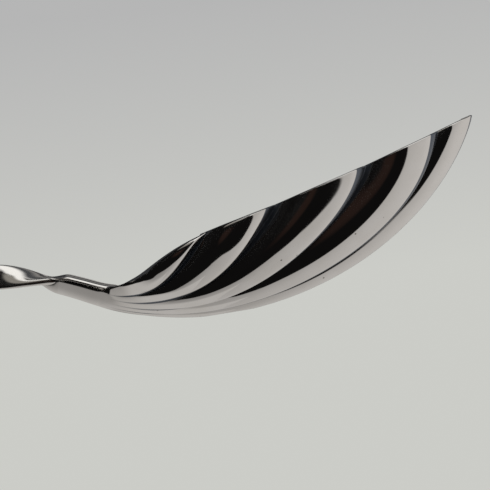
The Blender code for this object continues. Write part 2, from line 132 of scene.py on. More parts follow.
# Only in the looks: fillets, the satin lines beside the creases, which also carry painted shade, the rolled
# lip, and the strip's overhang and corners. INSIDE is what the texture's second value gains inside the bowl.
CREASE_ROUND = 0.035
CREASE_SPREAD = (0.3, 0.25)
CREASE_SATIN = 0.35
CREASE_EDGE = (0.995, 1.01)
HEEL_SIDE = 0.07
TIP_SIDE = 0.15
SIDE_SOFT = 0.02
SATIN_FROM = (0.15, 0.3)
# The colour below darkens the metal in the bands beside the creases: painted shade.
CREASE_SHADE_TINT = (0.17, 0.195, 0.235)
RIM_ROUND = 0.18
LIP_DROP = 0.35
LIP_FADE = 0.3
LIP_ROLL = 0.32
LIP_RUN = 0.13
LIP_START = 0.05
SIDE_THIN = 0.8
INSIDE = 2.0
STRIP_OVER = 0.12
OVER_FROM = 1.5
OVER_RUN = 4.0
TONGUE_POWER = 2.2
BAR_POWER = 2.6

# How finely the surfaces are drawn.
PLAN_STEP = 0.1
EDGE_STEPS = 401
RIM_STEPS = 1201
LOBE_STEPS = 18
FAN_ROWS = 113
ROW_POWER = 1.1
HEEL_ROWS = 18
LIP_STEPS = 9
RING = 56
STRIP_STEPS = 40
STRIP_POWER = 1.3
BAR_STEPS = 260
ROOT_STEPS = 40
TURNED_STEPS = 72
PATH_STEP = 0.25
PATH_WINDOW = 17
PATH_SPARE = (3.0, 30.0)
TEXTURE_SIZE = 10.0

# How the spoon is set down: the stem's fall, and the move of the origin.
STEM_FALL = 13.572
SET_DOWN = (20.566, 0.0, 9.114)

# Creases as places across the fan, which run from 0 at the keel to 1 at the side: beside the tip lobe, beside
# the side lobe, and the next one in.
TIP_CREASE = 1.0 / LOBES
SIDE_CREASE = 1.0 - 2.0 / LOBES
NEAR_CREASE = 1.0 - 4.0 / LOBES


def mix(values, s):
    """A value across the fan: middle, edge, and a swell between them."""
    u = s * s
    return values[0] + (values[1] - values[0]) * u + values[2] * 4.0 * u * (1.0 - u)


def smooth(v):
    """A soft step from 0 to 1."""
    v = np.clip(v, 0.0, 1.0)
    return v * v * (3.0 - 2.0 * v)


def unit(vectors):
    """Vectors of length one."""
    return vectors / np.maximum(np.linalg.norm(vectors, axis=-1), 1e-9)[..., None]


def placed(points):
    """Bowl frame in millimetres to the row frame in metres."""
    lean = math.radians(TILT)
    points = np.asarray(points, dtype=float)
    x = points[..., 0] * math.cos(lean) - points[..., 2] * math.sin(lean) + SET_DOWN[0]
    z = points[..., 0] * math.sin(lean) + points[..., 2] * math.cos(lean) + SET_DOWN[2]
    return np.stack([x, points[..., 1] + SET_DOWN[1], z], axis=-1) * MM


def turned(vector):
    """A direction of the bowl frame in the row frame."""
    lean = math.radians(TILT)
    x = vector[0] * math.cos(lean) - vector[2] * math.sin(lean)
    z = vector[0] * math.sin(lean) + vector[2] * math.cos(lean)
    return Vector((x, vector[1], z))


def rim_line(a):
    """Points of the rim, for a from 0 at the tip to 1 at the widest place."""
    turn = np.clip(a, 0.0, 1.0) ** FAN_POWER * math.pi / 2.0
    reach = np.abs(np.cos(turn)) ** TIP_POWER
    x = WIDEST_AT + (BOWL_LENGTH - WIDEST_AT) * reach
    y = BOWL_WIDTH / 2.0 * np.sin(turn) ** RIM_FULLNESS
    z = -SHOULDER_DROP * (1.0 - reach) - RIM_SAG * 4.0 * reach * (1.0 - reach)
    return np.stack([x, y, z], axis=-1)


def neck_wave(s):
    """Shares of the half width and of the depth around the neck's section, which is a rounded V."""
    turn = s * math.pi / 2.0
    across = np.sign(s) * np.abs(np.sin(turn)) ** (2.0 / HEEL_POWER)
    return across, np.abs(np.cos(turn)) ** (2.0 / HEEL_POWER)


def heel_section(s, half, depth):
    """Section across the neck where the fan begins, open at the top."""
    lean = math.radians(HEEL_ANGLE)
    down = np.array([-math.sin(lean), 0.0, -math.cos(lean)])
    heel = np.array([-HEEL_BACK, 0.0, -HEEL_DROP])
    across, low = neck_wave(s)
    return heel + half * across[:, None] * SIDEWAYS + depth * low[:, None] * down


def cubic(points, t):
    """Bezier curves, one for each row of the four arrays of points."""
    w = t[None, :, None]
    first = (1 - w) ** 3 * points[0][:, None] + 3 * (1 - w) ** 2 * w * points[1][:, None]
    return first + 3 * (1 - w) * w ** 2 * points[2][:, None] + w ** 3 * points[3][:, None]


def fan_lines(s, t):
    """Lines from the heel to the rim as seen from the side, for s from 0 to the last crease."""
    a = s * LOBES / (LOBES - 2.0)
    lean = math.radians(HEEL_ANGLE)
    ahead = np.array([math.cos(lean), 0.0, -math.sin(lean)])
    p0 = heel_section(s, HEEL_HALF, HEEL_DEPTH)
    p3 = rim_line(a)
    chord = np.linalg.norm(p3 - p0, axis=1)
    p1 = p0 + (mix(HEEL_PULL, a) * chord)[:, None] * ahead
    steep = np.radians(mix(RIM_STEEPNESS, a))
    out = np.stack([np.cos(steep), 0.0 * steep, np.sin(steep)], axis=-1)
    p2 = p3 - (mix(RIM_PULL, a) * chord)[:, None] * out
    return cubic((p0, p1, p2, p3), t)


def edge_line(t):
    """The edge of the side lobe, from the neck up the shoulder to the widest place."""
    dip = math.radians(EDGE_DIP)
    rise = math.radians(SHOULDER_RISE)
    ahead = np.array([[math.cos(dip), EDGE_FLARE, -math.sin(dip)]])
    level = np.array([[math.cos(rise), 0.0, math.sin(rise)]])
    p0 = heel_section(np.array([1.0]), HEEL_HALF, HEEL_DEPTH)
    p3 = rim_line(np.array([1.0])) - np.array([[EDGE_STOP, 0.0, 0.0]])
    return cubic((p0, p0 + EDGE_PULL * ahead, p3 - SHOULDER_PULL * level, p3), t)[0]


def eased(rim):
    """The rim's line with a soft turn at the widest place."""
    x = np.arange(rim[0, 0], rim[-1, 0], PLAN_STEP)
    half = np.interp(x, rim[:, 0], rim[:, 1])
    wide = 2 * int(WIDEST_EASE / PLAN_STEP) + 1
    window = np.ones(wide) / wide
    soft = half
    for _pass in range(2):
        soft = np.convolve(np.pad(soft, wide // 2, mode="edge"), window, mode="valid")
    share = 1.0 - smooth(np.abs(x - WIDEST_AT) / (3.0 * WIDEST_EASE) - 0.5)
    top = np.interp(x, rim[:, 0], rim[:, 2])
    line = np.stack([x, half + share * (soft - half), top], axis=-1)
    return np.concatenate([line, rim[-1:]])


def outline():
    """The rim and the keel as rows of X, Y, Z that run from the neck to the tip."""
    lean = math.radians(HEEL_ANGLE)
    back = 2.0 * HEEL_DEPTH * np.array([[-math.cos(lean), 0.0, math.sin(lean)]])
    edge = edge_line(np.linspace(0.0, 1.0, EDGE_STEPS))
    front = rim_line(np.linspace(1.0, 0.0, RIM_STEPS))
    rim = np.concatenate([edge[:1] + back, edge, front])
    keel = fan_lines(np.array([0.0]), np.linspace(0.0, 1.0, RIM_STEPS))[0]
    return eased(rim), np.concatenate([keel[:1] + back, keel])


def width_squared(x, z, rim, keel):
    """Square of the bowl's half width at height z, where each cross section is half a full oval."""
    half = np.interp(x, rim[:, 0], rim[:, 1])
    top = np.interp(x, rim[:, 0], rim[:, 2])
    bottom = np.interp(x, keel[:, 0], keel[:, 2])
    depth = np.maximum(top - bottom, SECTION_THIN)
    share = np.clip(1.0 - (z - bottom) / depth, -SECTION_LIMIT, SECTION_LIMIT)
    power = SECTION_POWER + SECTION_GAIN * (x / BOWL_LENGTH - SECTION_MIDDLE)
    power = power - KEEL_SHARP * (1.0 - smooth((x + HEEL_BACK) / KEEL_RUN))
    left = 1.0 - np.abs(share) ** power
    return half ** 2 * np.sign(left) * np.abs(left) ** (2.0 / power)


def half_bowl(s, t):
    """Smooth bowl and its outward normals for s from 0 to 1, over t from heel to rim."""
    last = (LOBES - 2.0) / LOBES
    base = fan_lines(np.minimum(s, last), t)
    over = np.clip((s - last) / (1.0 - last), 0.0, 1.0)[:, None, None]
    base = (1.0 - over) * base + over * edge_line(t)[None]
    rim, keel = outline()
    x = base[:, :, 0]
    z = base[:, :, 2]
    square = np.maximum(width_squared(x, z, rim, keel), 0.0)
    share = smooth(t / HEEL_BLEND)[None, :]
    base[:, :, 1] = (1.0 - share) * HEEL_HALF * neck_wave(s)[0][:, None] + share * np.sqrt(square)
    step = 0.05
    slope_x = width_squared(x + step, z, rim, keel) - width_squared(x - step, z, rim, keel)
    slope_z = width_squared(x, z + step, rim, keel) - width_squared(x, z - step, rim, keel)
    normal = np.stack([-slope_x / (2 * step), 2.0 * base[:, :, 1], -slope_z / (2 * step)], axis=-1)
    return base, unit(normal)


def worn(outer):
    """The outer skin with a small flat worn where the bowl stands on the table."""
    lean = math.radians(TILT)
    height = outer[..., 0] * math.sin(lean) + outer[..., 2] * math.cos(lean)
    lift = np.maximum(height.min() + WORN_FLAT - height, 0.0)
    return outer + lift[..., None] * np.array([math.sin(lean), 0.0, math.cos(lean)])


def lobe_widths(s, t):
    """Width of the lobe that each s lies in, from crease to crease."""
    number = np.minimum(np.floor((1.0 - np.abs(s)) * LOBES / 2.0 + 1e-9), (LOBES - 1) // 2)
    inner_side = 1.0 - 2.0 * (number + 1.0) / LOBES
    first, _normal = half_bowl(np.abs(1.0 - 2.0 * number / LOBES), t)
    second, _normal = half_bowl(np.abs(inner_side), t)
    second[:, :, 1] *= np.sign(inner_side)[:, None]
    return np.linalg.norm(first - second, axis=-1)


def lobe_swell(s):
    """Height of the lobes across the fan, 1 on a crown and 0 in a crease, which has a small fillet."""
    place = ((1.0 - np.abs(s)) * LOBES / 2.0) % 1.0
    lean = np.where(np.abs(s) < TIP_CREASE, 1.0, CROWN_LEAN)
    lean = np.where(np.abs(s) > SIDE_CREASE, SIDE_LEAN, lean)
    turn = 2.0 * place ** lean - 1.0
    fall = np.where(np.abs(s) > NEAR_CREASE, NEAR_FALL, CROWN_FALL)
    power = np.where(turn > 0.0, fall, CROWN_POWER)
    near = 1.0 - np.abs(turn)
    filleted = np.sqrt(near ** 2 + CREASE_ROUND ** 2) - CREASE_ROUND * np.exp(-near / CREASE_ROUND)
    return 1.0 - np.clip(1.0 - filleted, 0.0, 1.0) ** power


def bowl_skins(s, t):
    """Outer and inner skins of the lobed bowl."""
    last = (LOBES - 2.0) / LOBES
    base, normal = half_bowl(np.abs(s), t)
    mirror = np.where(s < 0.0, -1.0, 1.0)
    base[:, :, 1] *= mirror[:, None]
    normal[:, :, 1] *= mirror[:, None]
    at_side = np.abs(s) > last + 1e-9
    share = np.where(np.abs(s) > NEAR_CREASE, NEAR_LOBE_SHARE, LOBE_SHARE)
    share = np.where(np.abs(s) < TIP_CREASE, TIP_LOBE_SHARE, share)
    height = np.where(at_side, SIDE_LOBE_SHARE, share) * lobe_swell(s)
    start = np.where(np.abs(s) > NEAR_CREASE, NEAR_START, CREASE_START)[:, None]
    run = np.maximum(t[None, :] - start, 0.0) / CREASE_RUN
    rise = height[:, None] * lobe_widths(s, t) * (1.0 - np.exp(-run ** 2))
    rise[at_side] *= (1.0 - t ** SIDE_CLOSE)[None, :]
    over = np.clip((np.abs(s) - last) / (1.0 - last), 0.0, 1.0)
    level = normal.copy()
    level[:, :, 2] *= (1.0 - t ** LEVEL_POWER)[None, :] * (1.0 - over ** 2)[:, None]
    level = unit(level)
    outer = worn(base + rise[:, :, None] * level)
    lip = heel_section(s, HEEL_HALF - CHANNEL_LIP, CHANNEL_DEPTH) - heel_section(s, HEEL_HALF, HEEL_DEPTH)
    share = smooth(t / CHANNEL_FADE)[None, :, None]
    inner = outer + (1.0 - share) * lip[:, None, :] - share * WALL * level
    return outer, inner


def stem_angle(u):
    """Slope of the stem against the table, u millimetres from the heel."""
    first = HEEL_ANGLE - TILT
    down = BAR_LENGTH - DESCENT_FROM_END
    marks = [-TONGUE_INTO_BOWL, 0.0] + list(NECK_MARKS)
    marks += [down, down + DESCENT_RUN, BAR_LENGTH - LEVEL_END]
    slopes = [first - TONGUE_EASE, first - HEEL_EASE] + [first - ease for ease in NECK_EASE]
    return np.interp(u, marks, slopes + [-STEM_FALL, -STEM_FALL, 0.0])


def stem_path():
    """Distances, points and slopes along the stem's top line, in the bowl's frame."""
    u = np.arange(-2.0 * TONGUE_INTO_BOWL - PATH_SPARE[0], BAR_LENGTH + PATH_SPARE[1], PATH_STEP)
    raw = np.pad(stem_angle(u), PATH_WINDOW // 2, mode="edge")
    window = np.ones(PATH_WINDOW) / PATH_WINDOW
    theta = np.radians(np.convolve(raw, window, mode="valid") + TILT)
    dx = -np.cos(theta) * PATH_STEP
    dz = np.sin(theta) * PATH_STEP
    x = np.concatenate([[0.0], np.cumsum(0.5 * (dx[1:] + dx[:-1]))])
    z = np.concatenate([[0.0], np.cumsum(0.5 * (dz[1:] + dz[:-1]))])
    x += -HEEL_BACK - np.interp(0.0, u, x)
    z += -HEEL_DROP - np.interp(0.0, u, z)
    return u, x, z, np.degrees(theta)


PATH = stem_path()


def path_at(u):
    """Point, along and up directions on the stem's top line."""
    x = float(np.interp(u, PATH[0], PATH[1]))
    z = float(np.interp(u, PATH[0], PATH[2]))
    theta = math.radians(float(np.interp(u, PATH[0], PATH[3])))
    along = np.array([-math.cos(theta), 0.0, math.sin(theta)])
    up = np.array([math.sin(theta), 0.0, math.cos(theta)])
    return np.array([x, 0.0, z]), along, up


def neck_half(u):
    """Half the neck's width, u millimetres from the fan."""
    share = min(max(u / HEEL_LENGTH, 0.0), 1.0)
    return HEEL_HALF + (HEEL_END_HALF - HEEL_HALF) * share


def mesh_object(name, points, faces, material, uv=None):
    """Smooth mesh object from points in millimetres in the bowl frame."""
    mesh = bpy.data.meshes.new(name)
    mesh.from_pydata([tuple(p) for p in placed(points)], [], faces)
    mesh.validate()
    mesh.polygons.foreach_set("use_smooth", [True] * len(mesh.polygons))
    if uv is not None:
        layer = mesh.uv_layers.new(name="along")
        index = np.empty(len(mesh.loops), dtype=np.int32)
        mesh.loops.foreach_get("vertex_index", index)
        layer.data.foreach_set("uv", np.asarray(uv, dtype=np.float32)[index].ravel())
    mesh.update()
    obj = bpy.data.objects.new(name, mesh)
    bpy.context.scene.collection.objects.link(obj)
    obj.data.materials.append(material)
    return obj


def fan_columns():
    """Places across the fan, closer together near the creases."""
    inside = 0.5 - 0.5 * np.cos(np.pi * np.arange(LOBE_STEPS) / LOBE_STEPS)
    marks = [-1.0 + 2.0 * (k + inside) / LOBES for k in range(LOBES)]
    return np.concatenate(marks + [np.array([1.0])])


def heel_rows(s):
    """Outer and inner rows of the heel, from its end to the fan."""
    across, low = neck_wave(s)
    drop = LIP_DROP * (1.0 - low)
    outer = []
    inner = []
    for k in range(HEEL_ROWS):
        u = HEEL_LENGTH * (1.0 - k / HEEL_ROWS)
        share = u / HEEL_LENGTH
        point, _along, up = path_at(u)
        half = neck_half(u)
        depth = HEEL_DEPTH + (HEEL_END_DEPTH - HEEL_DEPTH) * share
        outer.append(point + half * across[:, None] * SIDEWAYS - (depth * low + drop)[:, None] * up)
        well = point + (half - CHANNEL_LIP) * across[:, None] * SIDEWAYS
        inner.append(well - (CHANNEL_DEPTH * low + drop)[:, None] * up)
    return np.stack(outer, axis=1), np.stack(inner, axis=1)


def whole_skins(s):
    """Outer and inner skins of the bowl with its heel. The lips sink beside the tongue."""
    t = np.linspace(0.0, 1.0, FAN_ROWS) ** ROW_POWER
    outer, inner = bowl_skins(s, t)
    _across, low = neck_wave(s)
    _point, _along, up = path_at(0.0)
    sunk = LIP_DROP * (1.0 - low)[:, None] * (1.0 - smooth(t / LIP_FADE))[None, :]
    heel_outer, heel_inner = heel_rows(s)
    outer = np.concatenate([heel_outer, outer - sunk[:, :, None] * up], axis=1)
    inner = np.concatenate([heel_inner, inner - sunk[:, :, None] * up], axis=1)
    return outer, inner


def rim_lift(j, rows):
    """Height of the rolled edge at row j: none at the heel, fullest on the shoulder, thin along the side."""
    past = (j - HEEL_ROWS) / rows
    lift = RIM_ROUND + LIP_ROLL * (1.0 - float(smooth(past / LIP_RUN)))
    lift = lift * float(smooth(past / LIP_START))
    if j < rows - 1:
        lift = lift * (1.0 - SIDE_THIN * float(smooth(past / LIP_RUN - 0.5)))
    return lift


def build_bowl(material):
    """Bowl with its heel: outer skin, rolled edge and inner skin."""
    s = fan_columns()
    outer, inner = whole_skins(s)
    columns, rows, _ = outer.shape
    vertices = list(outer.reshape(-1, 3)) + list(inner.reshape(-1, 3))
    uv = [(s[i], j / rows) for i in range(columns) for j in range(rows)]
    uv += [(u, v + INSIDE) for u, v in uv]
    shift = columns * rows
    faces = []
    for i in range(columns - 1):
        for j in range(rows - 1):
            a = i * rows + j
            faces.append((a + rows, a + rows + 1, a + 1, a))
            faces.append((shift + a, shift + a + 1, shift + a + rows + 1, shift + a + rows))
    edge = [(0, j) for j in range(rows)]
    edge += [(i, rows - 1) for i in range(1, columns)]
    edge += [(columns - 1, j) for j in range(rows - 2, -1, -1)]
    arc = np.linspace(0.0, math.pi, LIP_STEPS)[1:-1]
    strips = []
    for i, j in edge:
        middle = 0.5 * (outer[i, j] + inner[i, j])
        reach = 0.5 * (outer[i, j] - inner[i, j])
        lift = rim_lift(j, rows)
        strip = [i * rows + j]
        for angle in arc:
            strip.append(len(vertices))
            raised = np.array([0.0, 0.0, math.sin(angle) * lift])
            vertices.append(middle + math.cos(angle) * reach + raised)
            uv.append((s[i], j / rows))
        strip.append(shift + i * rows + j)
        strips.append(strip)
    for a, b in zip(strips[:-1], strips[1:]):
        for k in range(len(a) - 1):
            faces.append((a[k], b[k], b[k + 1], a[k + 1]))
    cap = [i * rows for i in range(columns)] + strips[-1][1:-1]
    cap += [shift + i * rows for i in range(columns - 1, -1, -1)] + strips[0][-2:0:-1]
    ring = len(vertices)
    vertices += [vertices[k] for k in cap]
    uv += [uv[k] for k in cap]
    faces.append(tuple(range(ring + len(cap) - 1, ring - 1, -1)))
    return mesh_object("bowl_silver", vertices, faces, material, uv)


def square_ring(half_width, over, under, power):
    """Offsets across and up of a rounded bar's section, which may be thicker above its middle than below."""
    angle = 2.0 * math.pi * (np.arange(RING) + 0.5) / RING
    c = np.cos(angle)
    n = np.sin(angle)
    across = half_width * np.sign(c) * np.abs(c) ** (2.0 / power)
    tall = np.where(n > 0.0, over, under) * np.sign(n) * np.abs(n) ** (2.0 / power)
    return across, tall


def heel_ring(half, depth, crown):
    """Offsets across and up of the heel's end: the neck's rounded V below, lightly crowned on top."""
    angle = 2.0 * math.pi * (np.arange(RING) + 0.5) / RING
    c = np.cos(angle)
    n = np.sin(angle)
    keel = 2.0 / HEEL_POWER
    across = half * np.where(n > 0.0, c, np.sign(c) * np.abs(c) ** keel)
    tall = np.where(n > 0.0, crown * n, -depth * np.abs(n) ** keel)
    return across, tall


def ring_points(u, across, tall, centre, twist):
    """Ring of the stem at u, turned by the twist about its own middle."""
    point, _along, up = path_at(u)
    y = across * math.cos(twist) - tall * math.sin(twist)
    z = across * math.sin(twist) + tall * math.cos(twist)
    return point + centre * up + y[:, None] * SIDEWAYS + z[:, None] * up


def stem_twist(u):
    """Turn of the bar, in radians: flat at the tongue, then a steady left-hand twist."""
    start = max(0.0, u - TWIST_FROM)
    return math.radians(start * TWIST_PER_MM)


def strip_rings():
    """Rings and places of the strip: the tongue on the heel, the twisted bar and the tenon."""
    tip = -TONGUE_INTO_BOWL
    rings = []
    marks = []
    ahead = tip + (HEEL_LENGTH - tip) * np.linspace(0.0, 1.0, STRIP_STEPS) ** STRIP_POWER
    for u in np.concatenate([ahead, np.linspace(HEEL_LENGTH, BAR_LENGTH, BAR_STEPS)[1:]]):
        nose = math.sqrt(max(NOSE_BLUNT, 1.0 - max(0.0, 1.0 - (u - tip) / NOSE) ** 2))
        free = float(smooth((u - HEEL_LENGTH + STRIP_LEAD) / STRIP_TAPER))
        over = float(smooth((u + OVER_FROM) / OVER_RUN))
        half = neck_half(u) + over * STRIP_OVER - (1.0 - over) * CHANNEL_LIP
        half = (1.0 - free) * half + free * BAR_HALF_WIDTH
        shrink = NOSE_THIN + (1.0 - NOSE_THIN) * nose
        above = shrink * ((1.0 - free) * TONGUE_HALF + free * BAR_HALF_THICK)
        below = shrink * ((1.0 - free) * TONGUE_UNDER + free * BAR_HALF_THICK)
        centre = (1.0 - free) * (TONGUE_CROWN - TONGUE_HALF) - free * BAR_HALF_THICK
        power = (1.0 - free) * TONGUE_POWER + free * BAR_POWER
        across, tall = square_ring(half * nose, above, below, power)
        rings.append(ring_points(u, across, tall, centre, stem_twist(u)))
        marks.append(u)
    for past, radius in TENON:
        across, tall = square_ring(radius, radius, radius, 2.0)
        twist = stem_twist(BAR_LENGTH)
        rings.append(ring_points(BAR_LENGTH + past, across, tall, -BAR_HALF_THICK, twist))
        marks.append(BAR_LENGTH + past)
    return rings, marks


def root_rings():
    """Rings and places of the root under the strip: the heel's rounded V, which runs out to nothing."""
    rings = []
    marks = []
    for u in HEEL_LENGTH - ROOT_LEAD + (ROOT_TAPER + ROOT_LEAD) * np.linspace(0.0, 1.0, ROOT_STEPS):
        gone = min(max((u - HEEL_LENGTH) / ROOT_TAPER, 0.0), 1.0) ** ROOT_POWER
        half = HEEL_END_HALF * (1.0 - ROOT_NARROW * gone)
        depth = HEEL_END_DEPTH * (1.0 - gone) + ROOT_END_DEPTH * BAR_HALF_THICK * gone
        tuck = 1.0 - ROOT_TUCK * max(0.0, HEEL_LENGTH - u)
        across, tall = heel_ring(half * tuck, depth * tuck, ROOT_CROWN)
        drop = LIP_DROP * (1.0 - np.abs(tall) / depth)
        rings.append(ring_points(u, across, tall - np.where(tall < 0.0, drop, LIP_DROP), 0.0, 0.0))
        marks.append(u)
    return rings, marks


def build_stem(material):
    """Tongue in the heel's channel, root, twisted bar and tenon."""
    vertices = []
    uv = []
    faces = []
    for rings, marks in (strip_rings(), root_rings()):
        first = len(vertices)
        vertices += [p for ring in rings for p in ring]
        uv += [(k / RING, u / TEXTURE_SIZE) for u in marks for k in range(RING)]
        for r in range(len(rings) - 1):
            for k in range(RING):
                a = first + r * RING + k
                b = first + r * RING + (k + 1) % RING
                faces.append((a + RING, b + RING, b, a))
        top = len(vertices) - RING
        faces.append(tuple(range(first, first + RING)))
        faces.append(tuple(range(top + RING - 1, top - 1, -1)))
    return mesh_object("stem_silver", vertices, faces, material, uv)


# Radius and distance along the finial, from the tenon's shoulder to the seal.
FINIAL = (
    (1.16, 0.02), (1.95, 0.02), (2.12, 0.08), (2.2, 0.25), (2.2, 0.75), (2.12, 0.92), (1.95, 1.0),
    (1.78, 1.15), (1.72, 1.38), (1.74, 1.7), (1.95, 2.15), (2.3, 2.6), (2.6, 3.05), (2.77, 3.55),
    (2.8, 3.9), (2.72, 4.4), (2.45, 4.9), (2.05, 5.3), (1.72, 5.6), (1.56, 5.85), (1.55, 6.1),
    (1.62, 6.35), (1.85, 6.7), (2.3, 7.1), (2.75, 7.4), (3.0, 7.62), (3.12, 7.72), (3.2, 7.88),
    (3.2, 8.92), (3.13, 9.1), (2.95, 9.17), (2.6, 9.18), (0.0, 9.18),
)


def build_finial(material):
    """Turned finial: collar, bulb, waist and flat seal, with small broken edges."""
    profile = np.array(FINIAL)
    start, along, up = path_at(BAR_LENGTH)
    start = start - BAR_HALF_THICK * up
    vertices = []
    uv = []
    dense = []
    for a, b in zip(profile[:-1], profile[1:]):
        for share in (0.0, 0.5):
            dense.append(a + share * (b - a))
    dense.append(profile[-1])
    for radius, distance in dense[:-1]:
        for k in range(TURNED_STEPS):
            angle = 2.0 * math.pi * k / TURNED_STEPS
            outward = math.cos(angle) * up + math.sin(angle) * SIDEWAYS
            vertices.append(start + distance * along + radius * outward)
            uv.append((k / TURNED_STEPS, distance / TEXTURE_SIZE))
    vertices.append(start + dense[-1][1] * along)
    uv.append((0.0, 1.0))
    faces = []
    rows = len(dense) - 1
    for r in range(rows - 1):
        for k in range(TURNED_STEPS):
            here = r * TURNED_STEPS
            there = here + TURNED_STEPS
            n = (k + 1) % TURNED_STEPS
            faces.append((here + k, here + n, there + n, there + k))
    for k in range(TURNED_STEPS):
        last = (rows - 1) * TURNED_STEPS
        faces.append((last + k, last + (k + 1) % TURNED_STEPS, len(vertices) - 1))
    faces.append(tuple(range(TURNED_STEPS - 1, -1, -1)))
    return mesh_object("finial_silver", vertices, faces, material, uv)


# The metal's finish: cloudy tone, wear lines along the polish, pin marks.
CLOUD_SCALE = 260.0
CLOUD_DETAIL = 4.0
CLOUD_RANGE = (0.3, 0.7)
CLOUD_TONE = (0.94, 0.935, 0.92)
LINE_DETAIL = 3.0
WEAR_RANGE = (0.35, 0.75)
WEAR_GAIN = 0.07
PIN_SCALE = 420.0
PIN_SIZE = (0.075, 0.03)
PIN_TONE = (0.3, 0.29, 0.27)
BUMP_STRENGTH = 0.015
BUMP_DEPTH = 0.00004

# For each piece: colour, roughness, and how close the wear lines lie in the texture's two directions.
BOWL_POLISH = ((0.9, 0.885, 0.865), 0.035, 90.0, 3.0)
STEM_POLISH = ((0.88, 0.865, 0.84), 0.11, 3.0, 30.0)
FINIAL_POLISH = ((0.89, 0.875, 0.85), 0.06, 2.0, 60.0)


def ramp(tree, value, low, high):
    """Soft step of a socket between two values."""
    node = tree.nodes.new("ShaderNodeMapRange")
    node.interpolation_type = "SMOOTHSTEP"
    node.inputs["From Min"].default_value = low
    node.inputs["From Max"].default_value = high
    tree.links.new(value, node.inputs["Value"])
    return node.outputs["Result"]


def maths(tree, operation, first, second=None):
    """Math node on sockets or numbers."""
    node = tree.nodes.new("ShaderNodeMath")
    node.operation = operation
    for slot, value in enumerate((first, second)):
        if value is None:
            continue
        if isinstance(value, (int, float)):
            node.inputs[slot].default_value = value
        else:
            tree.links.new(value, node.inputs[slot])
    return node.outputs["Value"]


def within(tree, angle, marks):
    """Soft step of an angle between two marks in degrees."""
    return ramp(tree, angle, math.radians(marks[0]), math.radians(marks[1]))


def blend(tree, share, first, second):
    """Colour between two colours, each a socket or three numbers."""
    node = tree.nodes.new("ShaderNodeMix")
    node.data_type = "RGBA"
    tree.links.new(share, node.inputs[0])
    for slot, value in ((6, first), (7, second)):
        if isinstance(value, tuple):
            node.inputs[slot].default_value = (value[0], value[1], value[2], 1.0)
        else:
            tree.links.new(value, node.inputs[slot])
    return node.outputs[2]


def dot_with(tree, vector_socket, direction):
    """Dot product with a fixed direction."""
    node = tree.nodes.new("ShaderNodeVectorMath")
    node.operation = "DOT_PRODUCT"
    node.inputs[1].default_value = tuple(direction)
    tree.links.new(vector_socket, node.inputs[0])
    return node.outputs["Value"]


def tinted(colour, tint):
    """A colour times another."""
    return tuple(c * k for c, k in zip(colour, tint))


def crease_satin_and_shade(tree, uv):
    """Mask of the bands beside the creases, on the outside only: satin where the polishing wheel doesn't
    reach, and painted shade.
    """
    parts = tree.nodes.new("ShaderNodeSeparateXYZ")
    tree.links.new(uv, parts.inputs[0])
    off = maths(tree, "ABSOLUTE", parts.outputs["X"])
    lobe = maths(tree, "MULTIPLY", maths(tree, "SUBTRACT", 1.0, off), LOBES / 2.0)
    place = maths(tree, "FRACT", lobe)
    spread = maths(tree, "SUBTRACT", CREASE_SPREAD[0], maths(tree, "MULTIPLY", off, CREASE_SPREAD[1]))
    band = ramp(tree, maths(tree, "ADD", place, spread), CREASE_EDGE[0], CREASE_EDGE[1])
    band = maths(tree, "MULTIPLY", band, maths(tree, "GREATER_THAN", off, TIP_CREASE))
    for reach, wide in ((SIDE_CREASE, HEEL_SIDE), (TIP_CREASE, TIP_SIDE)):
        inside = maths(tree, "LESS_THAN", off, reach)
        line = maths(tree, "MULTIPLY", inside, ramp(tree, place, wide + SIDE_SOFT, wide - SIDE_SOFT))
        band = maths(tree, "MAXIMUM", band, line)
    outside = maths(tree, "LESS_THAN", parts.outputs["Y"], 0.5 * INSIDE + 0.5)
    band = maths(tree, "MULTIPLY", band, outside)
    return maths(tree, "MULTIPLY", band, ramp(tree, parts.outputs["Y"], SATIN_FROM[0], SATIN_FROM[1]))


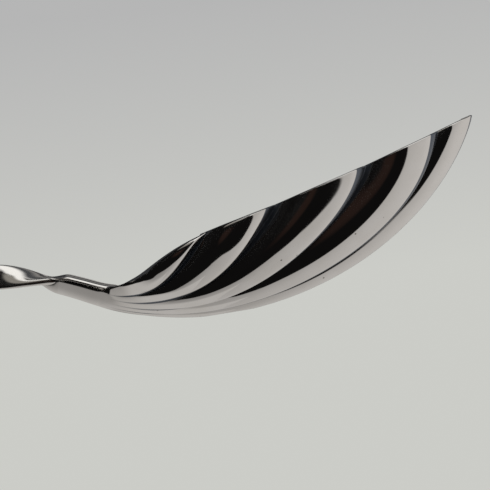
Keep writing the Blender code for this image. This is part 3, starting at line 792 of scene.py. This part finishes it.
def silver(name, colour, rough, scratch_u, scratch_v, creased=False):
    """Polished silver with cloudy tone, fine wear lines along the polish and a few pin marks; creased adds
    satin and painted shade beside the creases.
    """
    material = bpy.data.materials.new(name)
    material.use_nodes = True
    tree = material.node_tree
    nodes = tree.nodes
    shader = nodes["Principled BSDF"]
    shader.inputs["Metallic"].default_value = 1.0
    where = nodes.new("ShaderNodeTexCoord")
    cloud = nodes.new("ShaderNodeTexNoise")
    cloud.inputs["Scale"].default_value = CLOUD_SCALE
    cloud.inputs["Detail"].default_value = CLOUD_DETAIL
    tree.links.new(where.outputs["Object"], cloud.inputs["Vector"])
    tone = nodes.new("ShaderNodeValToRGB")
    shades = (tinted(colour, CLOUD_TONE), colour)
    for stop, position, shade in zip(tone.color_ramp.elements, CLOUD_RANGE, shades):
        stop.position = position
        stop.color = shade + (1.0,)
    tree.links.new(cloud.outputs["Fac"], tone.inputs["Fac"])
    along = nodes.new("ShaderNodeUVMap")
    along.uv_map = "along"
    stretch = nodes.new("ShaderNodeMapping")
    stretch.inputs["Scale"].default_value = (scratch_u, scratch_v, 1.0)
    tree.links.new(along.outputs["UV"], stretch.inputs["Vector"])
    lines = nodes.new("ShaderNodeTexNoise")
    lines.inputs["Scale"].default_value = 1.0
    lines.inputs["Detail"].default_value = LINE_DETAIL
    tree.links.new(stretch.outputs["Vector"], lines.inputs["Vector"])
    wear = nodes.new("ShaderNodeMapRange")
    wear.inputs["From Min"].default_value = WEAR_RANGE[0]
    wear.inputs["From Max"].default_value = WEAR_RANGE[1]
    wear.inputs["To Min"].default_value = rough
    wear.inputs["To Max"].default_value = rough + WEAR_GAIN
    tree.links.new(lines.outputs["Fac"], wear.inputs["Value"])
    pins = nodes.new("ShaderNodeTexVoronoi")
    pins.inputs["Scale"].default_value = PIN_SCALE
    tree.links.new(where.outputs["Object"], pins.inputs["Vector"])
    spot = ramp(tree, pins.outputs["Distance"], PIN_SIZE[0], PIN_SIZE[1])
    skin = blend(tree, spot, tone.outputs["Color"], tinted(colour, PIN_TONE))
    if creased:
        band = crease_satin_and_shade(tree, along.outputs["UV"])
        satin = maths(tree, "MULTIPLY", band, CREASE_SATIN)
        tree.links.new(maths(tree, "ADD", wear.outputs["Result"], satin), shader.inputs["Roughness"])
        # Painted shade: the bands beside the creases take a darker, bluish colour.
        skin = blend(tree, band, skin, tinted(colour, CREASE_SHADE_TINT))
    else:
        tree.links.new(wear.outputs["Result"], shader.inputs["Roughness"])
    tree.links.new(skin, shader.inputs["Base Color"])
    bump = nodes.new("ShaderNodeBump")
    bump.inputs["Strength"].default_value = BUMP_STRENGTH
    bump.inputs["Distance"].default_value = BUMP_DEPTH
    tree.links.new(lines.outputs["Fac"], bump.inputs["Height"])
    tree.links.new(bump.outputs["Normal"], shader.inputs["Normal"])
    return material


bowl = build_bowl(silver("bowl_polish", *BOWL_POLISH, creased=True))
stem = build_stem(silver("stem_polish", *STEM_POLISH))
finial = build_finial(silver("finial_polish", *FINIAL_POLISH))
PIECES = ((bowl, "bowl", "bowl_metal"), (stem, "stem", "stem_metal"), (finial, "finial", "finial_metal"))
for piece, node, slot in PIECES:
    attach(piece, "root")
    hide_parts(node)


# The camera, from lines of the bowl traced in the photograph: nearly level with the rim, a little to the
# right. AXIS_X and AXIS_Y are the pixel that TARGET falls on.
IMAGE = 490.0
SENSOR = 36.0
CLIP = (0.001, 20.0)
VIEW_TURN = 5.0
VIEW_RISE = 1.5
VIEW_ROLL = 22.5
PIXELS_PER_MM = 7.562
VIEW_DISTANCE = 259.3
AXIS_X = 304.0
AXIS_Y = 215.4
TARGET = (25.0, 0.0, -3.705)


def view_axes():
    """Right, up and forward of the photograph, in the row frame."""
    turn = math.radians(VIEW_TURN)
    rise = math.radians(VIEW_RISE)
    roll = math.radians(VIEW_ROLL)
    ahead = Vector((math.sin(turn) * math.cos(rise), math.cos(turn) * math.cos(rise), math.sin(rise)))
    right = Vector((math.cos(turn), -math.sin(turn), 0.0))
    up = right.cross(ahead)
    image_right = right * math.cos(roll) - up * math.sin(roll)
    image_up = right * math.sin(roll) + up * math.cos(roll)
    return turned(image_right), turned(image_up), turned(ahead)


def add_camera():
    """Camera at the photograph's place, turned so that its middle is the photograph's middle."""
    right, up, ahead = view_axes()
    target = Vector(placed(np.array(TARGET)))
    place = target - ahead * (VIEW_DISTANCE * MM)
    focal = PIXELS_PER_MM * VIEW_DISTANCE
    across = (IMAGE / 2.0 - AXIS_X) / focal
    down = (IMAGE / 2.0 - AXIS_Y) / focal
    forward = (ahead + right * across - up * down).normalized()
    right = (right - forward * right.dot(forward)).normalized()
    up = right.cross(forward)
    data = bpy.data.cameras.new("camera")
    data.sensor_width = SENSOR
    data.lens = focal / IMAGE * SENSOR
    data.clip_start, data.clip_end = CLIP
    camera = bpy.data.objects.new("camera", data)
    camera.matrix_world = Matrix((
        (right.x, up.x, -forward.x, place.x),
        (right.y, up.y, -forward.y, place.y),
        (right.z, up.z, -forward.z, place.z),
        (0.0, 0.0, 0.0, 1.0),
    ))
    bpy.context.scene.collection.objects.link(camera)
    bpy.context.scene.camera = camera
    return right, up


# The room that the metal reflects, in degrees: longitude from the eye's side to the right, latitude up, and
# the angle over the spoon from the eye's side to the back.
PANEL_SLANT = 0.358
PANEL_EDGE = 29.33
TABLE_EDGE = 63.26
TABLE_LIFT = 11.0
TABLE_LIFT_RUN = (20.0, 85.0)
TABLE_CLIMB = 40.0
TABLE_CLIMB_RUN = (90.0, 155.0)
CORNER_ROUND = 45.0
EDGE_SOFT = (-1.5, 1.5)
BEHIND_TURN = (138.0, 150.0)
BEHIND_DROP = (5.0, 20.0)
REAR_TURN = (138.0, 122.0)
REAR_DROP = (-28.0, -15.0)
PAPER_TOP = (-44.0, -32.0)
PAPER_SIDE = 110.0
PAPER_DIM = (0.171, 0.165, 0.16)
PAPER_BRIGHT = (0.577, 0.557, 0.54)
PAPER_LEFT = (0.47, 0.455, 0.44)
PAPER_LEFT_TURN = (95.0, 150.0)
CEILING_RISE = (32.0, 44.0)
CEILING_CUT = 26.0
CEILING_CUT_TURN = (-12.0, -5.0)
CEILING_GAP = -78.0
CEILING_GAP_TURN = (32.0, 42.0)
SKY = (1.0, 0.99, 0.97)
SKY_DIM = (0.06, 0.063, 0.068)
SKY_BACK = (0.28, 0.27, 0.26)
SKY_DIM_OVER = (82.0, 106.0)
SKY_BACK_OVER = (112.0, 145.0)
ROOM = (0.0045, 0.0042, 0.0042)
ROOM_WARM = (0.018, 0.0105, 0.0085)
WARM_TOWARDS = (-0.24, -0.955, -0.174)
WARM_SPREAD = (19.0, 5.0)
ROOM_BACK = (0.035, 0.036, 0.039)
ROOM_BACK_OVER = (110.0, 130.0)
ROOM_BACK_RISE = (-2.0, 12.0)
CLOTH = (0.25, 0.236, 0.215)
CLOTH_TURN = -14.0
CLOTH_SPREAD = (26.0, 16.0)
CLOTH_RISE = (24.0, 38.0)

# What the eye sees behind the spoon, and what lights the floor.
BACKDROP_LOW = (0.6, 0.606, 0.574)
BACKDROP_HIGH = (0.466, 0.467, 0.467)
BACKDROP_RANGE = (-0.02, 0.125)
BACKDROP_LEAN = 0.12
FILL = (0.8, 0.8, 0.8)


def paper_share(tree, lon, lat):
    """Share of the white paper to the right, below and behind, with one rounded edge to the dark room."""
    left = maths(tree, "MULTIPLY", lon, -1.0)
    below = maths(tree, "MULTIPLY", lat, -1.0)
    slant = maths(tree, "MULTIPLY", lat, PANEL_SLANT)
    panel = maths(tree, "SUBTRACT", maths(tree, "ADD", lon, slant), math.radians(PANEL_EDGE))
    lift = maths(tree, "MULTIPLY", within(tree, left, TABLE_LIFT_RUN), math.radians(TABLE_LIFT))
    climb = maths(tree, "MULTIPLY", within(tree, left, TABLE_CLIMB_RUN), math.radians(TABLE_CLIMB))
    lift = maths(tree, "ADD", lift, climb)
    table = maths(tree, "SUBTRACT", maths(tree, "ADD", below, lift), math.radians(TABLE_EDGE))
    edge = maths(tree, "SMOOTH_MAX", panel, table)
    edge.node.inputs[2].default_value = math.radians(CORNER_ROUND)
    behind = maths(tree, "MULTIPLY", within(tree, left, BEHIND_TURN), within(tree, below, BEHIND_DROP))
    low = maths(tree, "MAXIMUM", within(tree, edge, EDGE_SOFT), behind)
    rear = maths(tree, "MAXIMUM", within(tree, lon, REAR_TURN), within(tree, below, REAR_DROP))
    top = maths(tree, "MULTIPLY", rear, within(tree, below, PAPER_TOP))
    return maths(tree, "MULTIPLY", low, top)


def paper_colour(tree, place, lon):
    """The paper, brightest on the right, and even on the left."""
    turn = math.radians(PAPER_SIDE)
    bright = maths(tree, "MULTIPLY_ADD", dot_with(tree, place, (math.sin(turn), -math.cos(turn), 0.0)), 0.5)
    bright.node.inputs[2].default_value = 0.5
    paper = blend(tree, bright, PAPER_DIM, PAPER_BRIGHT)
    left = maths(tree, "MULTIPLY", lon, -1.0)
    return blend(tree, within(tree, left, PAPER_LEFT_TURN), paper, PAPER_LEFT)


def ceiling_share(tree, lon, lat):
    """Share of the ceiling, which starts higher on the left and has a gap there."""
    left = maths(tree, "MULTIPLY", lon, -1.0)
    cut = maths(tree, "MULTIPLY", within(tree, left, CEILING_CUT_TURN), math.radians(CEILING_CUT))
    raised = maths(tree, "SUBTRACT", lat, cut)
    off = maths(tree, "ABSOLUTE", maths(tree, "SUBTRACT", lon, math.radians(CEILING_GAP)))
    return maths(tree, "MULTIPLY", within(tree, raised, CEILING_RISE), within(tree, off, CEILING_GAP_TURN))


def sky_colour(tree, over):
    """The ceiling, brightest towards the eye and dim behind the zenith."""
    dim = blend(tree, within(tree, over, SKY_BACK_OVER), SKY_DIM, SKY_BACK)
    return blend(tree, within(tree, over, SKY_DIM_OVER), SKY, dim)


def room_colour(tree, place, lon, lat, over):
    """The dark room: a dim warm corner, a dim back wall, and a pale cloth that the stem reflects."""
    warm = dot_with(tree, place, WARM_TOWARDS)
    spread = [math.cos(math.radians(angle)) for angle in WARM_SPREAD]
    room = blend(tree, ramp(tree, warm, spread[0], spread[1]), ROOM, ROOM_WARM)
    back = maths(tree, "MULTIPLY", within(tree, over, ROOM_BACK_OVER), within(tree, lat, ROOM_BACK_RISE))
    room = blend(tree, back, room, ROOM_BACK)
    off = maths(tree, "ABSOLUTE", maths(tree, "SUBTRACT", lon, math.radians(CLOTH_TURN)))
    cloth = maths(tree, "MULTIPLY", within(tree, lat, CLOTH_RISE), within(tree, off, CLOTH_SPREAD))
    return blend(tree, cloth, room, CLOTH)


def reflected_room(tree, place):
    """Colour that the metal sees in each direction."""
    parts = tree.nodes.new("ShaderNodeSeparateXYZ")
    tree.links.new(place, parts.inputs[0])
    ahead = maths(tree, "MULTIPLY", parts.outputs["Y"], -1.0)
    lon = maths(tree, "ARCTAN2", parts.outputs["X"], ahead)
    lat = maths(tree, "ARCSINE", parts.outputs["Z"])
    over = maths(tree, "ARCTAN2", parts.outputs["Z"], ahead)
    room = room_colour(tree, place, lon, lat, over)
    lower = blend(tree, paper_share(tree, lon, lat), room, paper_colour(tree, place, lon))
    return blend(tree, ceiling_share(tree, lon, lat), lower, sky_colour(tree, over))


def studio_world(right, up):
    """Soft studio: a pale backdrop for the eye, even light for the floor, and a room for the metal."""
    world = bpy.data.worlds.new("studio")
    bpy.context.scene.world = world
    world.use_nodes = True
    tree = world.node_tree
    tree.nodes.clear()
    place = tree.nodes.new("ShaderNodeTexCoord").outputs["Generated"]
    studio = reflected_room(tree, place)
    tall = tree.nodes.new("ShaderNodeMapRange")
    tall.inputs["From Min"].default_value = BACKDROP_RANGE[0]
    tall.inputs["From Max"].default_value = BACKDROP_RANGE[1]
    tree.links.new(dot_with(tree, place, up - right * BACKDROP_LEAN), tall.inputs["Value"])
    backdrop = blend(tree, tall.outputs["Result"], BACKDROP_LOW, BACKDROP_HIGH)
    path = tree.nodes.new("ShaderNodeLightPath")
    seen = blend(tree, path.outputs["Is Glossy Ray"], FILL, studio)
    final = blend(tree, path.outputs["Is Camera Ray"], seen, backdrop)
    shine = tree.nodes.new("ShaderNodeBackground")
    tree.links.new(final, shine.inputs["Color"])
    out = tree.nodes.new("ShaderNodeOutputWorld")
    tree.links.new(shine.outputs["Background"], out.inputs["Surface"])


FLOOR_REACH = 0.9
FLOOR_TONES = ((0.68, 0.68, 0.665), (0.71, 0.71, 0.695))
FLOOR_GRAIN = 900.0
FLOOR_DETAIL = 3.0
FLOOR_ROUGH = 0.9
FLOOR_SHINE = 0.1
LAMP_SIZE = 0.5
LAMP_POWER = 2.0
LAMP_PLACE = (0.25, 0.35, 0.7)


def add_floor():
    """Pale floor. Its underside is clear to the eye, because the photograph's view is level with it."""
    mesh = bpy.data.meshes.new("floor")
    corners = [(FLOOR_REACH * x, FLOOR_REACH * y, 0.0) for x, y in ((-1, -1), (1, -1), (1, 1), (-1, 1))]
    mesh.from_pydata(corners, [], [(0, 1, 2, 3)])
    floor = bpy.data.objects.new("floor", mesh)
    bpy.context.scene.collection.objects.link(floor)
    material = bpy.data.materials.new("floor_paper")
    material.use_nodes = True
    tree = material.node_tree
    shader = tree.nodes["Principled BSDF"]
    shader.inputs["Roughness"].default_value = FLOOR_ROUGH
    shader.inputs["Specular IOR Level"].default_value = FLOOR_SHINE
    grain = tree.nodes.new("ShaderNodeTexNoise")
    grain.inputs["Scale"].default_value = FLOOR_GRAIN
    grain.inputs["Detail"].default_value = FLOOR_DETAIL
    tree.links.new(tree.nodes.new("ShaderNodeTexCoord").outputs["Object"], grain.inputs["Vector"])
    tone = blend(tree, grain.outputs["Fac"], FLOOR_TONES[0], FLOOR_TONES[1])
    tree.links.new(tone, shader.inputs["Base Color"])
    clear = tree.nodes.new("ShaderNodeBsdfTransparent")
    back = tree.nodes.new("ShaderNodeNewGeometry")
    mixer = tree.nodes.new("ShaderNodeMixShader")
    tree.links.new(back.outputs["Backfacing"], mixer.inputs["Fac"])
    tree.links.new(shader.outputs["BSDF"], mixer.inputs[1])
    tree.links.new(clear.outputs["BSDF"], mixer.inputs[2])
    tree.links.new(mixer.outputs["Shader"], tree.nodes["Material Output"].inputs["Surface"])
    mesh.materials.append(material)
    floor.visible_glossy = False


def add_lamp():
    """One large soft lamp, so that the floor shows a shadow."""
    data = bpy.data.lights.new("soft_lamp", "AREA")
    data.shape = "DISK"
    data.size = LAMP_SIZE
    data.energy = LAMP_POWER
    lamp = bpy.data.objects.new("soft_lamp", data)
    lamp.location = LAMP_PLACE
    lamp.rotation_euler = (-Vector(LAMP_PLACE)).to_track_quat("-Z", "Y").to_euler()
    lamp.visible_glossy = False
    bpy.context.scene.collection.objects.link(lamp)


photo_right, photo_up = add_camera()
studio_world(photo_right, photo_up)
add_floor()
add_lamp()
bpy.context.scene.view_settings.view_transform = "Standard"
